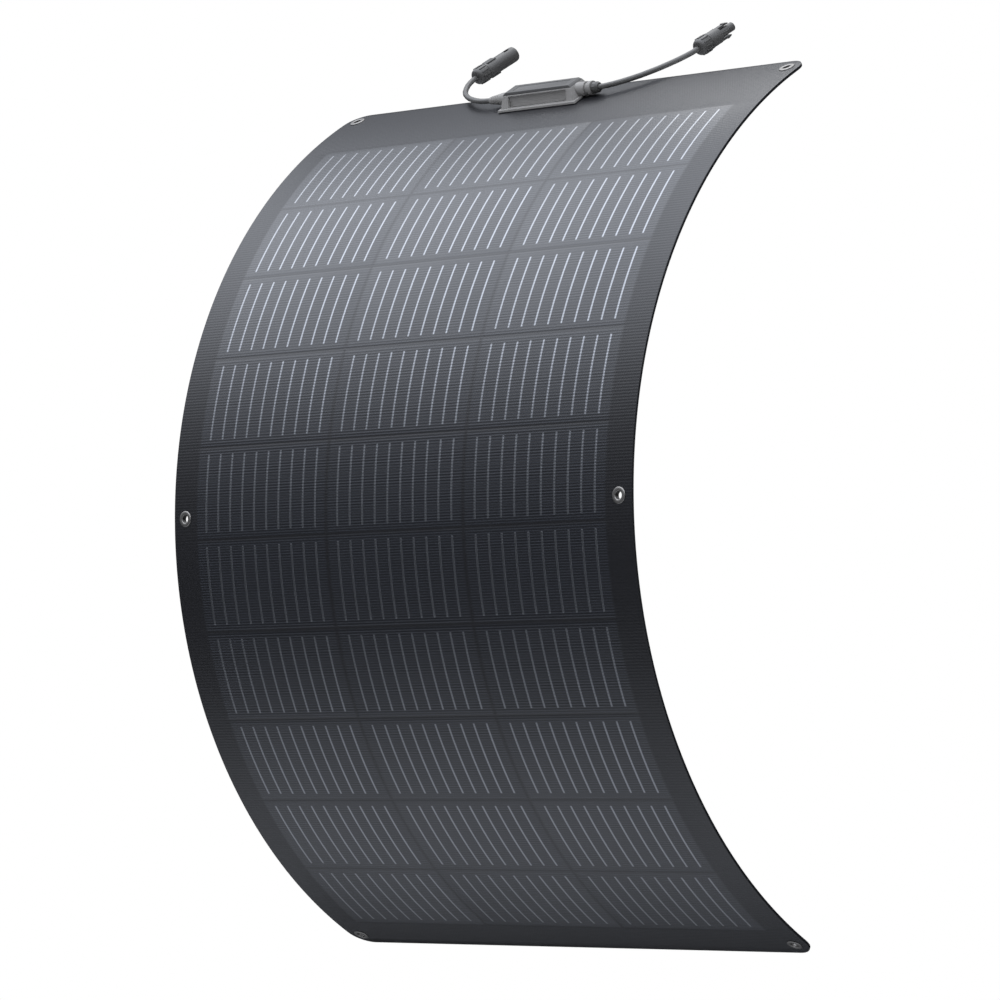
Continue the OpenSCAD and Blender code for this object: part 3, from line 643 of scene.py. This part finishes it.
def turned(name, profile, axis, through, steps=48):
    """Spins a closed profile of (along, radius) points, in millimetres, about an axis.

    axis is "X" or "Z", and through is a point that the axis passes through.
    """
    nothing_selected()
    through = Vector(through)
    points = [through + (Vector((a, 0, r)) if axis == "X" else Vector((r, 0, a))) * MM
              for a, r in profile]
    mesh = bpy.data.meshes.new(name)
    mesh.from_pydata(points, [(i, (i + 1) % len(points)) for i in range(len(points))], [])
    piece = bpy.data.objects.new(name, mesh)
    bpy.context.scene.collection.objects.link(piece)
    bpy.context.view_layer.objects.active = piece
    piece.select_set(True)
    bpy.ops.object.mode_set(mode="EDIT")
    bpy.ops.mesh.select_all(action="SELECT")
    bpy.ops.mesh.spin(steps=steps, angle=2 * math.pi, center=through,
                      axis=(1, 0, 0) if axis == "X" else (0, 0, 1))
    bpy.ops.mesh.select_all(action="SELECT")
    bpy.ops.mesh.remove_doubles(threshold=0.001 * MM)
    bpy.ops.mesh.normals_make_consistent(inside=False)
    bpy.ops.object.mode_set(mode="OBJECT")
    return piece


def joined(pieces, name):
    """Joins finished shapes into one object."""
    nothing_selected()
    for piece in pieces:
        piece.select_set(True)
    bpy.context.view_layer.objects.active = pieces[0]
    bpy.ops.object.join()
    pieces[0].name = name
    return pieces[0]


def copied(piece, name, matrix):
    """A copy with its own mesh, put in its place by a matrix."""
    other = piece.copy()
    other.data = piece.data.copy()
    other.name = name
    other.data.transform(matrix)
    bpy.context.scene.collection.objects.link(other)
    return other


# %% Eyelets
barrel = turned("eyelet", [
    (-4.5, 4.0), (0.5, 4.0), (0.85, 4.3), (1.0, 4.9), (0.98, 6.6), (0.85, 7.4), (0.6, 7.85),
    (0.35, 8.0), (0.15, 7.9), (0.1, 7.6), (0.1, 4.8), (-3.9, 4.8), (-3.9, 5.7), (-4.05, 5.95),
    (-4.3, 6.0), (-4.5, 5.7)], "Z", (0, 0, 0))
washer = turned("washer", [(-3.8, 4.9), (-3.8, 7.9), (-3.7, 8.0), (-3.3, 8.0), (-3.2, 7.9),
                           (-3.2, 4.9)], "Z", (0, 0, 0))
eyelet = finish_piece(joined([barrel, washer], "eyelet"), nickel_plate, angle=40)
eyelet_x = SHEET_W / 2 - EYELET_SIDE
for where, s in eyelet_s.items():
    pair = [copied(eyelet, f"eyelet_{where}_{side}", standing_on(side * eyelet_x, s))
            for side in (-1, 1)]
    pair = joined(pair, f"eyelets_{where}")
    if where == "middle":
        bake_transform(pair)
    else:
        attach(pair, f"{where}_edge")
    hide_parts(f"eyelets_{where}")
bpy.data.objects.remove(eyelet)
print("eyelets placed at", list(eyelet_s))

# %% [markdown]
# ## The junction box
# The base is a block whose sides lean in. Its front has a long recess between two end
# posts, with an upright back wall, so the posts read as gussets. Every edge is eased a
# little, as a mould leaves it. The foot follows the sheet's curve underneath.

# %% Box base
RIM_Z = 14.4


def ease_edges(piece, width_mm):
    """Bevels every edge that turns more than 30 degrees."""
    pick(piece, "EDGE", lambda e: e.calc_face_angle(0) > math.radians(30))
    bpy.ops.mesh.bevel(offset=width_mm * MM, segments=2, affect="EDGES", clamp_overlap=True)


def lean_top(piece, across, along):
    """Draws the top face in, to a share of its width and of its depth."""
    top = max(v.co.z for v in bmesh.from_edit_mesh(piece.data).verts)
    pick(piece, "FACE", lambda f: abs(f.calc_center_median().z - top) < 1e-6)
    bpy.ops.transform.resize(value=(across, along, 1), center_override=(0, 0, 0))


def follow_sheet(piece, below, gap):
    """Lays the underside on the pad of adhesive, which is part of a cylinder."""
    for vertex in piece.data.vertices:
        if vertex.co.z < below * MM:
            vertex.co.z = gap * MM - vertex.co.y ** 2 / (2 * FRONT_R)


body = start_block("box_body", Vector((-50, -17, 0.9)) * MM, Vector((50, 17, RIM_Z)) * MM)
lean_top(body, 0.92, 21 / 34)
slice_at(0, [-39 * MM, 39 * MM])
slice_at(2, [2.6 * MM, 13 * MM])
pick(body, "FACE", lambda f: f.normal.y < -0.5 and abs(f.calc_center_median().x) < 20 * MM
     and 2.6 * MM < f.calc_center_median().z < 13 * MM)
bpy.ops.mesh.extrude_region_move(TRANSFORM_OT_translate={"value": (0, 1.87 * MM, 0)})
pick(body, "VERT", lambda v: abs(v.co.x) < 39.5 * MM and abs(v.co.z - 2.6 * MM) < 1e-5
     and -15 * MM < v.co.y < -13 * MM)
bpy.ops.transform.translate(value=(0, 3.07 * MM, 0))
ease_edges(body, 0.45)
bpy.ops.object.mode_set(mode="OBJECT")

foot = start_block("box_foot", Vector((-52.5, -19.5, 0.5)) * MM, Vector((52.5, 19.5, 2.6)) * MM)
lean_top(foot, 104 / 105, 38 / 39)
slice_at(1, [y * MM for y in (-14, -9, -4, 4, 9, 14)])
ease_edges(foot, 0.35)
bpy.ops.object.mode_set(mode="OBJECT")
follow_sheet(foot, 0.9, 0.84)

hub = turned("box_hub", [
    (46, 3.0), (46, 7.3), (57.6, 7.3), (58, 6.9), (58, 5.7), (61, 5.7), (61, 6.8), (61.3, 7.1),
    (65.6, 7.1), (66, 6.7), (66, 3.0)], "X", (0, 0, LEAD_H))
box_base = finish_piece(joined([body, foot, hub], "box_base_moulded"), box_abs, angle=35)
box_base.data.transform(box_place)
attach(box_base, "top_edge")
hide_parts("box_base")

# %% [markdown]
# The lid is a shallow tray, with a sunk panel on its flat top where a label would sit.

# %% Lid
lid = start_block("box_lid_moulded", Vector((-46, -10.5, RIM_Z)) * MM, Vector((46, 10.5, 17)) * MM)
lean_top(lid, 86 / 92, 18.6 / 21)
pick(lid, "FACE", lambda f: f.normal.z > 0.9)
bpy.ops.mesh.extrude_region_move(TRANSFORM_OT_translate={"value": (0, 0, 0)})
bpy.ops.transform.resize(value=(70 / 86, 11 / 18.6, 1), center_override=(0, 0, 0))
bpy.ops.mesh.extrude_region_move(TRANSFORM_OT_translate={"value": (0, 0, -0.4 * MM)})
ease_edges(lid, 0.3)
finish_piece(lid, lid_abs, angle=35)
lid.data.transform(box_place)
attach(lid, "top_edge")
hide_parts("box_lid")

# %% [markdown]
# ## Gland nut and strain relief
# Both are round about the lead where it leaves the box. The nut has a coarse grip of
# shallow flats, and the relief is ringed with grooves, so that it bends with the lead.

# %% Gland nut and relief
nut = turned("gland_nut_moulded", [
    (66, 2.8), (66, 5.5), (66.3, 5.8), (71.8, 5.8), (72.4, 5.5), (74, 4.2), (74, 2.8)],
    "X", (0, 0, LEAD_H), steps=12)
nut = finish_piece(nut, connector_ppo, angle=25)
relief_profile = [(-50.6, 2.8), (-50.6, 6.5), (-56.6, 6.3), (-57.2, 5.9)]
for n in range(5):
    start, radius = -58 - 3 * n, 5.9 - 0.42 * n
    relief_profile += [(start, radius), (start - 1.6, radius - 0.22), (start - 1.8, radius - 0.75),
                       (start - 2.6, radius - 0.85)]
relief_profile += [(-73.6, 3.6), (-74, 3.4), (-74, 2.8)]
relief = turned("left_relief_moulded", relief_profile, "X", (0, 0, LEAD_H))
relief = finish_piece(relief, relief_tpe, angle=30)
for piece, slot, node in ((nut, "connector_plastic", "gland_nut"),
                          (relief, "relief_rubber", "left_relief")):
    piece.data.transform(box_place)
    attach(piece, "top_edge")
    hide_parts(node)

# %% [markdown]
# ## Cap nuts of the connectors
# Both connectors have the same nut: a rounded back that grips the seal, and a skirt with
# twelve ribs for a spanner. One rib is modelled and copied round, and the finished nut
# is copied to the second connector. A connector's own Z runs along it.

# %% Cap nuts


def connector_place(x, y):
    """A matrix with Z along a connector that starts at a place on the box's plane."""
    turned_in = Matrix.Rotation(math.radians(-6), 4, "Z") @ Matrix.Rotation(math.radians(-90), 4, "X")
    return box_place @ Matrix.Translation(Vector((x * MM, y * MM, LEAD_H))) @ turned_in


skirt = turned("cap_nut", [
    (0, 3.05), (0, 5.2), (0.25, 6.0), (1.0, 7.1), (2.2, 8.0), (4, 8.6), (14.4, 8.7), (15, 8.3),
    (15, 7.5), (5, 7.5), (5, 3.05)], "Z", (0, 0, 0))
rib = start_block("rib", Vector((7.9, -0.8, 4.5)) * MM, Vector((9.45, 0.8, 14)) * MM)
ease_edges(rib, 0.4)
bpy.ops.object.mode_set(mode="OBJECT")
ribs = [copied(rib, "rib", Matrix.Rotation(math.radians(30 * n), 4, "Z")) for n in range(12)]
bpy.data.objects.remove(rib)
cap_nut = finish_piece(joined([skirt] + ribs, "cap_nut"), connector_ppo, angle=35)
connector_at = {"socket": connector_place(-154, 73), "plug": connector_place(148, 73)}
for which, place in connector_at.items():
    piece = copied(cap_nut, f"{which}_nut_moulded", place)
    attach(piece, "top_edge")
    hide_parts(f"{which}_nut")
    connector_at[which] = piece
bpy.data.objects.remove(cap_nut)

# %% [markdown]
# ## Finishes on the CAD pieces that show their true shape
# Small metal and rubber pieces inside the box and the connectors already have the right
# shape, so they only need a finish.

# %% Finishes of CAD nodes
finishes = {
    "box_bond": bond_silicone, "box_seal": seal_epdm, "box_terminals": terminal_brass,
    "bypass_diodes": diode_epoxy, "socket_shell": connector_ppo, "plug_shell": connector_ppo,
    "latch_arm_outer": connector_ppo, "latch_arm_inner": connector_ppo,
    "socket_contact": tinned_copper, "plug_contact": tinned_copper,
    "cable_seals": seal_silicone, "end_bars_top": tinned_copper,
    "end_bars_bottom": tinned_copper}
for node, finish in finishes.items():
    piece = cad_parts[node]
    for index in range(max(1, len(piece.data.materials))):
        if len(piece.data.materials) <= index:
            piece.data.materials.append(finish)
        else:
            piece.material_slots[index].material = finish

# %% [markdown]

# %% [markdown]
# ## Floor and light
# The sheet hangs in an even white studio. What it shows is mostly what its film mirrors:
# a wide bright ceiling over the top rows, a dark room in front of the middle ones, and
# the pale floor under the lowest. The world holds the ceiling's gradient, and one large
# lamp overhead gives the soft shadows.

# %% Floor and light
nothing_selected()
bpy.ops.mesh.primitive_plane_add(size=14, location=(0, 0, -1.3))
floor = bpy.context.object
floor.name = "floor"
floor_paint, tree, shader = new_material("Studio floor, pale matt paint", 0.8)
shader.inputs["Base Color"].default_value = linear("#e8e8e8")
floor.data.materials.append(floor_paint)
floor.visible_glossy = False          # the film mirrors the room below, not the floor's edge

world = bpy.data.worlds.new("studio")
bpy.context.scene.world = world
world.use_nodes = True
tree = world.node_tree
tree.nodes.clear()
direction = add_node(tree, "ShaderNodeTexCoord").outputs["Generated"]
compass = add_node(tree, "ShaderNodeSeparateXYZ", None, {"Vector": direction})
level = add_node(tree, "ShaderNodeMapRange", None,
                 {"Value": compass.outputs["Z"], "From Min": -1.0, "From Max": 1.0})
ramp = add_node(tree, "ShaderNodeValToRGB", None, {"Fac": level.outputs["Result"]})
stops = [(-0.9, 0.24), (-0.65, 0.24), (-0.4, 0.06), (-0.15, 0.02), (0.15, 0.05),
         (0.38, 0.24), (0.58, 0.8), (0.75, 1.0)]
while len(ramp.color_ramp.elements) < len(stops):
    ramp.color_ramp.elements.new(0.5)
for stop, (z, grey) in zip(ramp.color_ramp.elements, stops):
    stop.position = (z + 1) / 2
    stop.color = (grey, grey, grey, 1)
behind = add_node(tree, "ShaderNodeMapRange", {"interpolation_type": "SMOOTHSTEP"},
                  {"Value": compass.outputs["Y"], "From Min": -0.15, "From Max": 0.45,
                   "To Min": 5.0, "To Max": 0.8})
bright = add_node(tree, "ShaderNodeMath", {"operation": "MULTIPLY"},
                  {0: ramp.outputs["Color"], 1: behind.outputs["Result"]})
room = add_node(tree, "ShaderNodeBackground", None,
                {"Color": linear("#f0f5ff"), "Strength": bright.outputs["Value"]})
paper = add_node(tree, "ShaderNodeBackground", None, {"Color": (1, 1, 1, 1), "Strength": 1.0})
seen = add_node(tree, "ShaderNodeLightPath").outputs["Is Camera Ray"]
mixed = add_node(tree, "ShaderNodeMixShader", None,
                 {0: seen, 1: room.outputs["Background"], 2: paper.outputs["Background"]})
add_node(tree, "ShaderNodeOutputWorld", None, {"Surface": mixed.outputs["Shader"]})


def lamp(name, place, size, power, target=(0, 0, 0)):
    """A square softbox that faces a point."""
    data = bpy.data.lights.new(name, "AREA")
    data.size = size
    data.energy = power
    holder = bpy.data.objects.new(name, data)
    bpy.context.scene.collection.objects.link(holder)
    holder.location = place
    holder.rotation_euler = (Vector(target) - Vector(place)).to_track_quat("-Z", "Y").to_euler()
    return holder


lamp("overhead", (-0.35, 0.75, 1.7), 0.9, 8, (0.15, 0.2, 0.4))
